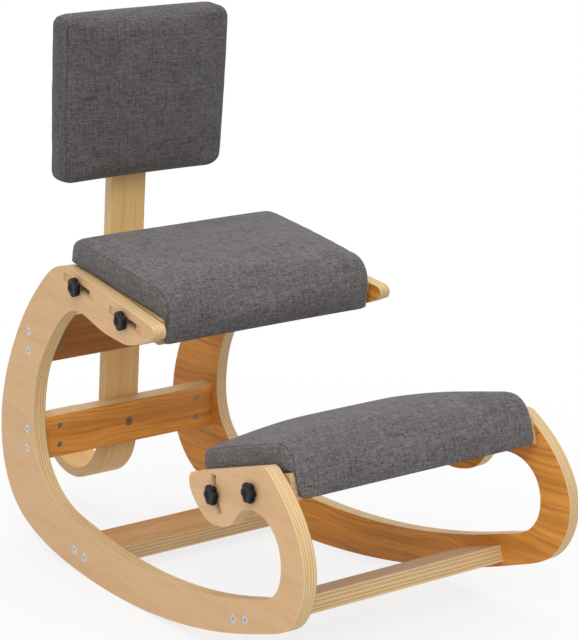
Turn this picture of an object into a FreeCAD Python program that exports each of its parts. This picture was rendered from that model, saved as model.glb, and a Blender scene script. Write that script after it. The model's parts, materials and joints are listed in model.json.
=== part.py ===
import FreeCAD, Part
import math
import os
from FreeCAD import Placement, Rotation, Vector

# Rocking wooden kneeling chair with a backrest. Millimetres and degrees, +Z up, the sitter faces -Y,
# the sitter's left is +X. Everything is laid out with the rocker's low line on Z = 0 and is moved along Y
# at the end, so that the origin is the middle of the footprint.

DRIVING_SIZES = [
    ("frame_ply", 21, "thickness of the two side frames"),
    ("half_width", 215, "middle of the chair to a side frame's outer face, at Y = 0"),
    ("toe_angle", 4.9, "turn of each side frame: the chair is wider at the knees than at the back"),
    ("rocker_radius", 1300, "radius of the rocking edge"),
    ("rocker_low", 78, "where the rocking edge touches a level floor, along the side frame"),
    ("inner_radius", 1100, "radius of the edge above the rocking edge"),
    ("inner_low", 65, "height of that edge at its lowest point"),
    ("rocker_front", 334, "front end of the rocking edge, along the side frame"),
    ("rocker_rear", 236, "rear end of the rocking edge"),
    ("inner_front", 304, "front end of the edge above it"),
    ("inner_rear", 166, "rear end of the edge above it"),
    ("seat_nose", 72, "seat plate's top edge in front of the front studs"),
    ("seat_plate_rear", 162, "seat plate's top edge behind the front studs"),
    ("knee_plate_front", 41, "knee plate's top edge in front of the pivot studs"),
    ("knee_plate_rear", 152, "knee plate's top edge behind the pivot studs"),
    ("lobe_reach", 15, "knee plate's rounded rear end past its top edge"),
    ("corner_soft", 9, "how far the knee plate's front top corner is rounded, along each edge"),
    ("seat_slope", 9.5, "the seat falls this much towards its front"),
    ("seat_along", 33, "front seat stud, along the side frame"),
    ("seat_height", 432, "front seat stud above the floor"),
    ("seat_stud_spacing", 140, "between the two seat studs of one side"),
    ("seat_plate_rise", 19, "seat plate's top edge above the studs"),
    ("seat_travel", 25, "how far the seat slides each way"),
    ("knee_slope", 16.4, "the knee pad falls this much towards its rear"),
    ("knee_along", -311, "knee pad's pivot stud, along the side frame"),
    ("knee_height", 263, "knee pad's pivot stud above the floor"),
    ("knee_stud_spacing", 101, "between the pivot stud and the clamp stud"),
    ("knee_plate_rise", 33.5, "knee plate's top edge above the studs"),
    ("knee_swing", 12.5, "how far the knee pad tilts each way"),
    ("stud_diameter", 8, "clamp studs, M8"),
    ("stud_clearance", 0.4, "between a stud and the side of its slot or hole"),
    ("knee_slot_clearance", 0.8, "the same in the curved slot, which a slanting stud follows"),
    ("slot_spare", 0.5, "between a stud and the end of its slot at the end of the travel"),
    ("recess_width", 13, "shallow recess around a slot"),
    ("recess_spare", 17, "recess past the seat slots' ends"),
    ("swing_recess_spare", 2.2, "recess past the curved slot's ends"),
    ("recess_depth", 3, "depth of that recess"),
    ("bar_width", 70, "the crossbars' wide face"),
    ("bar_ply", 25, "the crossbars' thickness"),
    ("post_lean", 4.8, "the back post leans forward"),
    ("post_along", 360, "front face of the back post at the middle crossbar, from Y = 0"),
    ("middle_bar_height", 178, "middle crossbar above the floor"),
    ("upper_bar_rise", 161, "from the middle crossbar to the upper one, along the post"),
    ("rear_bar_along", 183, "rear floor bar, along Y"),
    ("rear_bar_height", 34, "rear floor bar above the floor"),
    ("rear_bar_tilt", 5.9, "tilt of the rear floor bar"),
    ("front_bar_along", -275, "front floor bar, along Y"),
    ("front_bar_height", 70, "front floor bar above the floor"),
    ("front_bar_tilt", -14.7, "tilt of the front floor bar"),
    ("bolt_spacing", 32, "between the two bolts of a joint"),
    ("bolt_diameter", 6, "connector bolts, M6"),
    ("bolt_head", 14.5, "diameter of a connector bolt's flat head"),
    ("head_height", 2.2, "height of that head"),
    ("bolt_reach", 44, "connector bolt past the side frame"),
    ("nut_reach", 32, "barrel nut past the side frame"),
    ("nut_diameter", 10, "barrel nuts"),
    ("nut_length", 18, "length of a barrel nut"),
    ("fit_clearance", 0.2, "around a bolt, a head or a barrel nut"),
    ("post_width", 65, "bentwood back post"),
    ("post_ply", 16, "thickness of the bentwood"),
    ("post_nut_flange", 2, "flange of the nuts behind the post"),
    ("post_nut_dome", 6, "height of the domes over that flange"),
    ("post_top", 592, "top of the post above the middle crossbar, along the post"),
    ("curl_radius", 92, "outer radius of the post's lower curl"),
    ("curl_drop", 32, "start of the curl below the middle crossbar"),
    ("curl_end", 10, "the curl stops this many degrees before it points straight up"),
    ("back_foot", 412, "bottom of the backrest above the middle crossbar, along the post"),
    ("back_tall", 257, "height of the backrest"),
    ("back_wide_top", 307, "width of the backrest at its top"),
    ("back_wide_foot", 298, "width of the backrest at its bottom"),
    ("back_thick", 46, "thickness of the backrest at its edge"),
    ("back_crown", 5, "how much the backrest's middle stands out"),
    ("back_soft", 14, "rounding of the backrest's top and bottom edges"),
    ("back_end_round", 18, "rounding of the backrest's sides"),
    ("back_screw_rise", 50, "from one row of backrest screws to the next"),
    ("back_screw_spacing", 32, "between the two screws of a row"),
    ("back_board_ply", 12, "board in the backrest"),
    ("back_board_inset", 16, "backrest's edge outside its board"),
    ("seat_front", 70, "seat cushion in front of the front studs"),
    ("seat_depth", 259, "depth of the seat cushion"),
    ("seat_wide_front", 379, "width of the seat cushion at its front"),
    ("seat_wide_rear", 374, "width of the seat cushion at its rear"),
    ("seat_top", 61, "seam of the seat cushion above the studs"),
    ("seat_crown", 7, "how much the seat cushion's middle stands up"),
    ("knee_front", 72, "knee cushion in front of the pivot studs"),
    ("knee_depth", 239, "depth of the knee cushion"),
    ("knee_wide_front", 440, "width of the knee cushion at its front"),
    ("knee_wide_rear", 407, "width of the knee cushion at its rear"),
    ("knee_top", 64, "seam of the knee cushion above the studs"),
    ("knee_crown", 12, "how much the knee cushion's middle stands up"),
    ("seat_end_round", 11, "rounding of the seat cushion's sides"),
    ("knee_end_round", 18, "rounding of the knee cushion's sides"),
    ("front_soft", 38, "rounding of both cushions' front edges"),
    ("rear_soft", 18, "rounding of both cushions' rear edges"),
    ("pad_foot", 20, "bottom of both cushions below the studs"),
    ("pad_skirt", 8, "cushion in front of and behind its base"),
    ("base_ply", 12, "board in the seat and the knee pad"),
    ("base_rise", 19, "top of that board above the studs"),
    ("cleat_width", 28, "side cleats under the board"),
    ("cleat_tall", 26, "height of the cleats and rails"),
    ("base_play", 0.3, "between a cushion and the base in it"),
    ("rail_width", 16, "front and rear rails under the board"),
    ("side_gap", 3, "between a pad's side and the side frame"),
    ("over_plate", 1.5, "seat cushion's overhang above the seat plates"),
    ("insert_diameter", 12, "threaded inserts in the cleats"),
    ("insert_length", 18, "length of an insert"),
    ("running_clearance", 0.05, "between a stud and its insert"),
    ("knob_diameter", 30, "star knobs"),
    ("knob_head", 8.5, "height of a star knob's head"),
    ("knob_neck", 11, "diameter of a star knob's neck"),
    ("knob_flutes", 6, "flutes round a star knob"),
    ("flute_diameter", 8, "diameter of a flute"),
    ("seat_knob_gap", 2.6, "seat knob's head to the side frame, which toes in as the seat slides"),
    ("seat_neck_gap", -0.4, "seat knob's neck to the side frame: it reaches into the recess"),
    ("knee_knob_gap", 2, "knee knob's head to the side frame"),
    ("knee_neck_gap", 0.9, "knee knob's neck to the side frame"),
]

doc = FreeCAD.newDocument("KneelingChair")
sizes = doc.addObject("Spreadsheet::Sheet", "sizes")
for row, (alias, number, meaning) in enumerate(DRIVING_SIZES, start=1):
    sizes.set("A%d" % row, meaning)
    sizes.set("B%d" % row, str(number))
    sizes.setAlias("B%d" % row, alias)
doc.recompute()


def size(alias):
    return float(sizes.get(alias))


kept = {}


def keep(piece, label):
    """Name a finished sub-part, which gets a file of its own."""
    piece.Label = label
    kept[label] = piece
    return piece


def bind(piece, **formulas):
    for prop, formula in formulas.items():
        piece.setExpression(prop, formula)


# Places on and between the side frames

TOE = math.radians(size("toe_angle"))
PLY = size("frame_ply")
RIGHT, LEFT = -1, 1
SIDES = ((RIGHT, "right"), (LEFT, "left"))
UP = Vector(0, 0, 1)


def along_axis(side):
    """Direction along a side frame towards its rear."""
    return Vector(-side * math.sin(TOE), math.cos(TOE), 0)


def inward_axis(side):
    """Direction square to a side frame, towards the middle of the chair."""
    return Vector(-side * math.cos(TOE), -math.sin(TOE), 0)


def plate_place(side, along, height, inward=0.0):
    """The point of a side frame at this place, so far in from its outer face."""
    outer = Vector(side * size("half_width"), 0, 0)
    return outer + along_axis(side) * along + UP * height + inward_axis(side) * inward


def plate_along(y):
    """Where a bar at this Y meets the side frame's inner face, along the side frame."""
    return y / math.cos(TOE) + PLY * math.tan(TOE)


def tilted(origin_along, origin_height, slope, along, rise):
    """A point of a pad's own side view, in the side frame's plane."""
    turn = math.radians(slope)
    return (origin_along + along * math.cos(turn) - rise * math.sin(turn),
            origin_height + along * math.sin(turn) + rise * math.cos(turn))


def seat_point(along, rise):
    return tilted(size("seat_along"), size("seat_height"), size("seat_slope"), along, rise)


def knee_point(along, rise):
    return tilted(size("knee_along"), size("knee_height"), -size("knee_slope"), along, rise)


def pad_turn(side, slope):
    """X along the pad's slope, Z square to it and Y square to the side frame."""
    turn = math.radians(slope)
    along = along_axis(side) * math.cos(turn) + UP * math.sin(turn)
    rise = UP * math.cos(turn) - along_axis(side) * math.sin(turn)
    return Rotation(along, rise.cross(along), rise, "ZXY")


# Sketches and simple solids

def origin_plane(body, role):
    return next(plane for plane in body.Origin.OriginFeatures if plane.Role == role)


def new_body(label):
    return keep(doc.addObject("PartDesign::Body", label), label)


def sketch(body, role, curves, name, offset=0.0):
    drawing = body.newObject("Sketcher::SketchObject", name)
    drawing.AttachmentSupport = [(origin_plane(body, role), "")]
    drawing.MapMode = "FlatFace"
    drawing.AttachmentOffset = Placement(Vector(0, 0, offset), Rotation())
    for curve in curves:
        drawing.addGeometry(curve, False)
    return drawing


def pad(body, drawing, formula, reverse=False, middle=False):
    feature = body.newObject("PartDesign::Pad", "Pad")
    feature.Profile = drawing
    feature.Reversed = reverse
    feature.Midplane = middle
    bind(feature, Length=formula)
    body.Tip = feature
    return feature


def pocket(body, drawing, formula, reverse=False):
    feature = body.newObject("PartDesign::Pocket", "Pocket")
    feature.Profile = drawing
    feature.Reversed = reverse
    bind(feature, Length=formula)
    body.Tip = feature
    return feature


def flat(point):
    return Vector(point[0], point[1], 0)


def line(first, last):
    return Part.LineSegment(flat(first), flat(last))


def arc(first, middle, last):
    return Part.Arc(flat(first), flat(middle), flat(last))


def circle(centre, diameter):
    return Part.Circle(flat(centre), Vector(0, 0, 1), diameter / 2)


def loop(points):
    """Straight lines through the points and back to the first."""
    return [line(first, last) for first, last in zip(points, points[1:] + points[:1])]


def spline(points, first_way, last_way):
    """A smooth curve through the points that leaves and arrives in the given directions."""
    places = [flat(point) for point in points]
    travelled = [0.0]
    for before, after in zip(places, places[1:]):
        travelled.append(travelled[-1] + before.distanceToPoint(after))
    curve = Part.BSplineCurve()
    curve.interpolate(Points=places, Parameters=travelled, Scale=False,
                      InitialTangent=flat(first_way).normalize(), FinalTangent=flat(last_way).normalize())
    return curve


def long_hole(first, last, width):
    """Two straight sides and two half-round ends."""
    way = (flat(last) - flat(first)).normalize()
    across = Vector(-way.y, way.x, 0) * (width / 2)
    a, b = flat(first), flat(last)
    return [Part.LineSegment(a + across, b + across), Part.Arc(b + across, b + way * (width / 2), b - across),
            Part.LineSegment(b - across, a - across), Part.Arc(a - across, a - way * (width / 2), a + across)]


def box(name, centre, turn, **formulas):
    """A block with its middle at the given place."""
    block = doc.addObject("Part::Box", name)
    bind(block, **formulas)
    doc.recompute()
    middle = Vector(block.Length.Value, block.Width.Value, block.Height.Value) * -0.5
    block.Placement = Placement(centre + turn.multVec(middle), turn)
    return block


def rod(name, base, way, radius, height):
    cylinder = doc.addObject("Part::Cylinder", name)
    bind(cylinder, Radius=radius, Height=height)
    cylinder.Placement = Placement(base, Rotation(UP, way))
    return cylinder


def joined(name, pieces):
    if len(pieces) == 1:
        return pieces[0]
    fusion = doc.addObject("Part::MultiFuse", name)
    fusion.Shapes = pieces
    return fusion


def minus(name, base, tool):
    cut = doc.addObject("Part::Cut", name)
    cut.Base = base
    cut.Tool = tool
    return cut


# Crossbars: where each lies, and the bolts that hold it. The wide face of a bar runs along "turn".

LEAN = math.radians(size("post_lean"))


def post_place(rise, back, across=0.0):
    """A point on the leaning back post: rise along it, back from its front face."""
    return Vector(across, size("post_along") - rise * math.sin(LEAN) + back * math.cos(LEAN),
                  size("middle_bar_height") + rise * math.cos(LEAN) + back * math.sin(LEAN))


def bar_sites():
    upright = 90 + size("post_lean")
    half = -size("bar_ply") / 2
    middle = post_place(0, half)
    upper = post_place(size("upper_bar_rise"), half)
    return {
        "upper_crossbar": (upper.y, upper.z, upright),
        "middle_crossbar": (middle.y, middle.z, upright),
        "rear_floor_bar": (size("rear_bar_along"), size("rear_bar_height"), size("rear_bar_tilt")),
        "front_floor_bar": (size("front_bar_along"), size("front_bar_height"), size("front_bar_tilt")),
    }


BARS = bar_sites()


def bar_way(turn):
    """Direction of a bar's wide face, in the side view."""
    return Vector(0, math.cos(math.radians(turn)), math.sin(math.radians(turn)))


def bolt_sites(bar):
    """The two bolts of a bar's joint, along the side frame and above the floor."""
    y, z, turn = BARS[bar]
    step = bar_way(turn) * (size("bolt_spacing") / 2)
    return [(plate_along(y + way * step.y), z + way * step.z) for way in (-1, 1)]


# Side frames: one open curl of plywood, from the seat plate's nose over the back, along the floor and up
# to the knee plate. Its long edges are smooth curves through these points.

BACK_CURVE = [(234, 475), (294, 436), (343, 386), (384, 329), (421, 256), (437, 187), (431, 122), (395, 64),
              (334, 31)]
LEG_CURVE = [(-401, 95), (-432, 143), (-436, 185), (-405, 252)]
LOBE_CURVE = [(158, -9), (133, -36), (102, -45), (69, -42), (42, -26), (7, -25), (-23, -39)]
LOOP_CURVE = [(-371, 210), (-381, 173), (-373, 143), (-354, 124)]
HOLLOW_CURVE = [(235, 89), (280, 111), (313, 147), (326, 195), (324, 238), (309, 292), (279, 340), (231, 392)]
SEAT_UNDERSIDE = [(148, -41), (115, -37), (68, -41), (24, -39), (-9, -35), (-48, -19)]


def arc_on_circle(low_along, low_height, radius, first, last):
    """An arc that is lowest at the given point, and its directions at both ends."""
    def at(along):
        return along, low_height + radius - math.sqrt(radius ** 2 - (along - low_along) ** 2)

    def way(along):
        lean = math.asin((along - low_along) / radius)
        return math.cos(lean), math.sin(lean)

    return arc(at(first), at((first + last) / 2), at(last)), at(first), at(last), way(first), way(last)


def side_outline():
    slope = math.radians(size("seat_slope"))
    seat_way = (math.cos(slope), math.sin(slope))
    rise = size("seat_plate_rise")
    nose = -size("seat_nose")
    nose_top, seat_rear = seat_point(nose, rise), seat_point(size("seat_plate_rear"), rise)
    nose_tip, nose_foot = seat_point(nose - 10, rise - 7), seat_point(nose - 2, rise - 22)
    knee_top = size("knee_plate_rise")
    knee_nose, knee_end = -size("knee_plate_front"), size("knee_plate_rear")
    knee_corner, knee_rear = knee_point(knee_nose, knee_top), knee_point(knee_end, knee_top)
    leg_way = (0.84, 0.54)
    soft = size("corner_soft")
    leg_end = (knee_corner[0] - leg_way[0] * soft, knee_corner[1] - leg_way[1] * soft)
    knee_front = knee_point(knee_nose + soft, knee_top)
    corner_middle = tuple((a + 2 * b + c) / 4 for a, b, c in zip(leg_end, knee_corner, knee_front))
    lobe_end = knee_end + size("lobe_reach")
    lobe_tip, lobe_side = knee_point(lobe_end - 4, knee_top - 4), knee_point(lobe_end, 20)
    rocker, front_foot, rear_foot, front_way, rear_way = arc_on_circle(
        size("rocker_low"), 0, size("rocker_radius"), -size("rocker_front"), size("rocker_rear"))
    floor, floor_front, floor_rear, floor_front_way, floor_rear_way = arc_on_circle(
        0, size("inner_low"), size("inner_radius"), -size("inner_front"), size("inner_rear"))
    lobe = [lobe_side] + [knee_point(*point) for point in LOBE_CURVE] + LOOP_CURVE + [floor_front]
    hollow = [floor_rear] + HOLLOW_CURVE + [seat_point(*point) for point in SEAT_UNDERSIDE] + [nose_foot]
    return [
        line(nose_top, seat_rear),
        spline([seat_rear] + BACK_CURVE + [rear_foot], seat_way, (-rear_way[0], -rear_way[1])),
        rocker,
        spline([front_foot] + LEG_CURVE + [leg_end], (-front_way[0], -front_way[1]), leg_way),
        arc(leg_end, corner_middle, knee_front),
        line(knee_front, knee_rear),
        arc(knee_rear, lobe_tip, lobe_side),
        spline(lobe, (0, -1), floor_front_way),
        floor,
        spline(hollow, floor_rear_way, (-0.86, 0.5)),
        arc(nose_foot, nose_tip, nose_top),
    ]


def seat_slots(width, past):
    """The seat studs' straight slots, this wide and this far past the travel."""
    curves = []
    for stud in (0, size("seat_stud_spacing")):
        reach = size("seat_travel") + past
        curves += long_hole(seat_point(stud - reach, 0), seat_point(stud + reach, 0), width)
    return curves


def seat_recesses():
    curves = []
    reach = size("seat_travel") + size("stud_diameter") / 2 + size("recess_spare")
    half = size("recess_width") / 2
    for stud in (0, size("seat_stud_spacing")):
        corners = ((stud - reach, -half), (stud + reach, -half), (stud + reach, half), (stud - reach, half))
        curves += loop([seat_point(*corner) for corner in corners])
    return curves


def swing_point(radius, angle):
    turn = math.radians(angle)
    return knee_point(radius * math.cos(turn), radius * math.sin(turn))


def curved_slot(width, angle, round_ends):
    """A slot round the pivot stud, this wide and to this angle each way."""
    radius = size("knee_stud_spacing")
    inner, outer = radius - width / 2, radius + width / 2
    end = math.degrees(width / 2 / radius)
    outer_low, outer_high = swing_point(outer, -angle), swing_point(outer, angle)
    inner_low, inner_high = swing_point(inner, -angle), swing_point(inner, angle)
    curves = [arc(outer_low, swing_point(outer, 0), outer_high),
              arc(inner_high, swing_point(inner, 0), inner_low)]
    if round_ends:
        return curves + [arc(outer_high, swing_point(radius, angle + end), inner_high),
                         arc(inner_low, swing_point(radius, -angle - end), outer_low)]
    return curves + [line(outer_high, inner_high), line(inner_low, outer_low)]


def side_frame(side, word):
    body = new_body(word + "_side_frame")
    right = side == RIGHT
    clear = size("stud_clearance")
    outline = sketch(body, "XY_Plane", side_outline(), "outline")
    pad(body, outline, "sizes.frame_ply", reverse=not right)
    doc.recompute()
    stud, swing_radius = size("stud_diameter"), size("knee_stud_spacing")
    slot_width = stud + 2 * clear
    through = seat_slots(slot_width, size("slot_spare"))
    swing_spare = math.degrees(size("slot_spare") / swing_radius)
    through += curved_slot(stud + 2 * size("knee_slot_clearance"), size("knee_swing") + swing_spare, True)
    through.append(circle(knee_point(0, 0), slot_width))
    through += [circle(site, size("bolt_diameter") + 2 * size("fit_clearance"))
                for bar in BARS for site in bolt_sites(bar)]
    pocket(body, sketch(body, "XY_Plane", through, "through"), "sizes.frame_ply", reverse=right)
    recess_end = math.degrees((stud / 2 + size("swing_recess_spare")) / swing_radius)
    recesses = seat_recesses() + curved_slot(size("recess_width"), size("knee_swing") + recess_end, False)
    pocket(body, sketch(body, "XY_Plane", recesses, "recesses"), "sizes.recess_depth", reverse=right)
    head_seat = size("bolt_head") + 2 * size("fit_clearance")
    seats = [circle(site, head_seat) for bar in BARS for site in bolt_sites(bar)]
    pocket(body, sketch(body, "XY_Plane", seats, "heads"), "sizes.head_height + sizes.fit_clearance",
           reverse=right)
    doc.recompute()
    across = along_axis(side).cross(UP)
    body.Placement = Placement(plate_place(side, 0, 0), Rotation(along_axis(side), UP, across, "ZXY"))
    return body


for side, word in SIDES:
    side_frame(side, word)


# Crossbars: boards cut off along the side frames' inner faces, with bolts and barrel nuts at each end

PAST_ALL = 1500
UPRIGHT_TILT = 45


def bay():
    """The space between the side frames."""
    reach = PAST_ALL / 2
    corners = []
    for side, way in ((RIGHT, -1), (RIGHT, 1), (LEFT, 1), (LEFT, -1)):
        corner = plate_place(side, way * reach, 0, PLY)
        corners.append((corner.x, corner.y))
    plan = doc.addObject("Sketcher::SketchObject", "bay_plan")
    for edge in loop(corners):
        plan.addGeometry(edge, False)
    space = doc.addObject("Part::Extrusion", "bay")
    space.Base = plan
    space.DirMode = "Custom"
    space.Dir = UP
    space.LengthFwd = PAST_ALL
    space.Solid = True
    return space


BAY = bay()


def nut_way(turn):
    """Direction in which a barrel nut goes into its bar: from the front, or from below."""
    way = 1 if turn > UPRIGHT_TILT else -1
    return Vector(0, math.sin(math.radians(turn)), -math.cos(math.radians(turn))) * way


def nut_foot(side, site, turn):
    """Start of a barrel nut: its middle lies on the bolt's axis, and it is centred in the bar."""
    centre = plate_place(side, site[0], site[1], PLY + size("nut_reach"))
    return centre - nut_way(turn) * (size("nut_length") / 2)


def crossbar(bar, face_holes):
    y, z, turn = BARS[bar]
    board = box(bar + "_board", Vector(0, y, z), Rotation(Vector(1, 0, 0), turn),
                Length="3 * sizes.half_width", Width="sizes.bar_width", Height="sizes.bar_ply")
    fitted = doc.addObject("Part::Common", bar + "_fitted")
    fitted.Base = board
    fitted.Tool = BAY
    holes = []
    for side, word in SIDES:
        for site in bolt_sites(bar):
            holes.append(rod(bar + "_bolt_hole", plate_place(side, *site, PLY - 1), inward_axis(side),
                             "sizes.bolt_diameter / 2 + sizes.fit_clearance",
                             "sizes.bolt_reach + 1 + 2 * sizes.fit_clearance"))
            foot = nut_foot(side, site, turn) - nut_way(turn) * size("bar_ply")
            holes.append(rod(bar + "_nut_hole", foot, nut_way(turn),
                             "sizes.nut_diameter / 2 + sizes.fit_clearance",
                             "sizes.bar_ply + sizes.nut_length + sizes.fit_clearance"))
    holes += face_holes
    keep(minus(bar, fitted, joined(bar + "_holes", holes)), bar)


def bolt(name, base, way, shank):
    """A connector bolt with a flat head and a hexagon socket."""
    head = rod(name + "_head", base, way, "sizes.bolt_head / 2", "sizes.head_height")
    stem = rod(name + "_stem", base + way * size("head_height"), way, "sizes.bolt_diameter / 2", shank)
    socket = doc.addObject("Part::Prism", name + "_socket")
    socket.Polygon = 6
    bind(socket, Circumradius="sizes.bolt_diameter * 0.38", Height="sizes.head_height * 0.75")
    socket.Placement = Placement(base, Rotation(UP, way))
    return minus(name, joined(name + "_body", [head, stem]), socket)


def bar_hardware(bar):
    turn = BARS[bar][2]
    nuts = []
    for side, word in SIDES:
        bolts = []
        for site in bolt_sites(bar):
            bolts.append(bolt("%s_bolt_%s" % (bar, word), plate_place(side, *site, size("fit_clearance")),
                              inward_axis(side), "sizes.frame_ply - sizes.head_height + sizes.bolt_reach"))
            barrel = rod(bar + "_barrel", nut_foot(side, site, turn), nut_way(turn),
                         "sizes.nut_diameter / 2", "sizes.nut_length")
            bore = rod(bar + "_bore", plate_place(side, *site, PLY), inward_axis(side),
                       "sizes.bolt_diameter / 2 + sizes.running_clearance", "sizes.bolt_reach + 5")
            nuts.append(minus(bar + "_nut", barrel, bore))
        group = doc.addObject("Part::Compound", "%s_%s_bolts" % (bar, word))
        group.Links = bolts
        keep(group, "%s_%s_bolts" % (bar, word))
    group = doc.addObject("Part::Compound", bar + "_barrel_nuts")
    group.Links = nuts
    keep(group, bar + "_barrel_nuts")


BACK_WAY = post_place(0, 1) - post_place(0, 0)
POST_BOLT_RISES = (0, size("upper_bar_rise"))


def post_bolt_holes(rise):
    """The hole for the bolt that holds the post, with a seat for its head in the bar's front face."""
    start = post_place(rise, -size("bar_ply") - 1)
    return [rod("post_bolt_hole", start, BACK_WAY, "sizes.bolt_diameter / 2 + sizes.fit_clearance",
                "sizes.bar_ply + 2"),
            rod("post_head_seat", start, BACK_WAY, "sizes.bolt_head / 2 + sizes.fit_clearance",
                "1 + sizes.head_height + sizes.fit_clearance")]


for bar in BARS:
    rises = {"middle_crossbar": 0, "upper_crossbar": size("upper_bar_rise")}
    crossbar(bar, post_bolt_holes(rises[bar]) if bar in rises else [])
    bar_hardware(bar)


# Back post: one bent strip, down behind both crossbars, under and up again in a curl towards the rear

BACK_SCREWS = [(across * size("back_screw_spacing") / 2, size("back_foot") + row * size("back_screw_rise"))
               for row in (1, 2, 3) for across in (-1, 1)]


def back_post():
    body = new_body("back_post")
    thick, radius, low = size("post_ply"), size("curl_radius"), -size("curl_drop")
    top = size("post_top")

    def on_curl(out, degrees):
        turn = math.radians(degrees)
        return radius + out * math.cos(turn), low + out * math.sin(turn)

    end = -size("curl_end")
    tip = math.degrees(thick / 2 / radius)
    profile = [
        line((0, top), (0, low)),
        arc((0, low), on_curl(radius, -90), on_curl(radius, end)),
        arc(on_curl(radius, end), on_curl(radius - thick / 2, end + tip), on_curl(radius - thick, end)),
        arc(on_curl(radius - thick, end), on_curl(radius - thick, -90), (thick, low)),
        line((thick, low), (thick, top)),
        line((thick, top), (0, top)),
    ]
    pad(body, sketch(body, "YZ_Plane", profile, "strip"), "sizes.post_width", middle=True)
    hole = size("bolt_diameter") + 2 * size("fit_clearance")
    sites = [(0, rise) for rise in POST_BOLT_RISES] + BACK_SCREWS
    holes = sketch(body, "XZ_Plane", [circle(site, hole) for site in sites], "holes")
    pocket(body, holes, "sizes.post_ply", reverse=False)
    doc.recompute()
    strip = body.Tip
    corners = ["Edge%d" % number for number, edge in enumerate(strip.Shape.Edges, start=1)
               if abs(edge.BoundBox.ZMin - top) < 0.01 and edge.BoundBox.XLength < 0.01
               and edge.BoundBox.ZLength < 0.01]
    rounding = body.newObject("PartDesign::Fillet", "top_corners")
    rounding.Base = (strip, corners)
    bind(rounding, Radius="sizes.post_width * 0.3")
    body.Tip = rounding
    body.Placement = Placement(post_place(0, 0), Rotation(Vector(1, 0, 0), size("post_lean")))
    return body


back_post()


def post_hardware():
    bolts, nuts = [], []
    for rise in POST_BOLT_RISES:
        start = post_place(rise, -size("bar_ply") + size("fit_clearance"))
        bolts.append(bolt("post_bolt", start, BACK_WAY,
                          "sizes.bar_ply + sizes.post_ply - sizes.head_height + sizes.post_nut_dome"))
        behind = post_place(rise, size("post_ply"))
        flange = rod("post_nut_flange", behind, BACK_WAY, "sizes.bolt_head / 2", "sizes.post_nut_flange")
        dome = rod("post_nut_dome", behind + BACK_WAY * size("post_nut_flange"), BACK_WAY,
                   "sizes.bolt_diameter", "sizes.post_nut_dome")
        bore = rod("post_nut_bore", behind - BACK_WAY, BACK_WAY,
                   "sizes.bolt_diameter / 2 + sizes.running_clearance", "sizes.post_nut_dome + 1.5")
        nuts.append(minus("post_nut", joined("post_nut_body", [flange, dome]), bore))
    for label, pieces in (("post_bolts", bolts), ("post_nuts", nuts)):
        group = doc.addObject("Part::Compound", label)
        group.Links = pieces
        keep(group, label)


post_hardware()


# Cushions: side views lofted across the width, crowned in the middle and rounded off at both sides

MIDDLE_STATIONS = (-1, -0.5, 0, 0.5, 1)
SIDE_STEPS = (0, 0.08, 0.3, 1)


class Cushion:
    """A cushion's measures along its side view, which starts so far in front of the frame's zero."""

    def __init__(self, lead, depth, foot, top, half_front, half_rear):
        self.lead = lead
        self.depth = depth
        self.foot = foot
        self.top = top
        self.half_front = half_front
        self.half_rear = half_rear

    def half_at(self, along):
        share = (along + self.lead) / self.depth
        return self.half_front + (self.half_rear - self.half_front) * share

    def section(self, station, crown, draw_in, front_round, rear_round):
        """One closed side view, on a plane that follows the cushion's taper."""
        front, rear = -self.lead + draw_in, self.depth - self.lead - draw_in
        low, high = -self.foot + draw_in * 0.35, self.top - draw_in * 0.6
        bulge = 0.8 + crown * (1 - station ** 4)

        def at(along, rise):
            return Vector(station * self.half_at(along), along, rise)

        shoulder = high - front_round * 0.75
        foot_rear, foot_front = at(rear, low), at(front, low)
        front_top, top_front = at(front, shoulder), at(front + front_round, high)
        top_rear, rear_top = at(rear - rear_round, high), at(rear, high - rear_round)
        edges = [
            Part.LineSegment(foot_rear, foot_front),
            Part.Arc(foot_front, at(front - 3, (low + shoulder) / 2), front_top),
            Part.Arc(front_top, at(front + front_round * 0.33, high - front_round * 0.22), top_front),
            Part.Arc(top_front, at((front + rear) / 2, high + bulge), top_rear),
            Part.Arc(top_rear, at(rear - rear_round * 0.27, high - rear_round * 0.27), rear_top),
            Part.LineSegment(rear_top, foot_rear),
        ]
        return Part.Wire([edge.toShape() for edge in edges])

    def form(self, name, crown, side_round, front_round, rear_round):
        """The middle is one smooth loft; both sides are rounded off in short steps."""
        half = (self.half_front + self.half_rear) / 2

        def section_at(station):
            short = max(0.0, side_round - half * (1 - abs(station)))
            draw_in = side_round - math.sqrt(side_round ** 2 - short ** 2)
            return self.section(station, crown, draw_in, front_round, rear_round)

        edge = 1 - side_round / half
        middle = Part.makeLoft([section_at(edge * station) for station in MIDDLE_STATIONS], True, False)
        steps = [1 - (1 - edge) * step for step in SIDE_STEPS]
        pieces = [Part.makeLoft([section_at(way * step) for step in steps], True, True) for way in (-1, 1)]
        form = doc.addObject("Part::Feature", name)
        form.Shape = middle.multiFuse(pieces)
        return form


def square_place(along, height, slope):
    """A pad's own frame in the middle of the chair: Y along its slope and Z square to it."""
    return Placement(Vector(0, along * math.cos(TOE), height), Rotation(Vector(1, 0, 0), slope))


# Seat and knee pad: a cushion over a board on cleats and rails, with threaded inserts for the studs

BASE_SIDE = PLY + size("side_gap")
UNDER_BOARD = size("base_rise") - size("base_ply")


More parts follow.
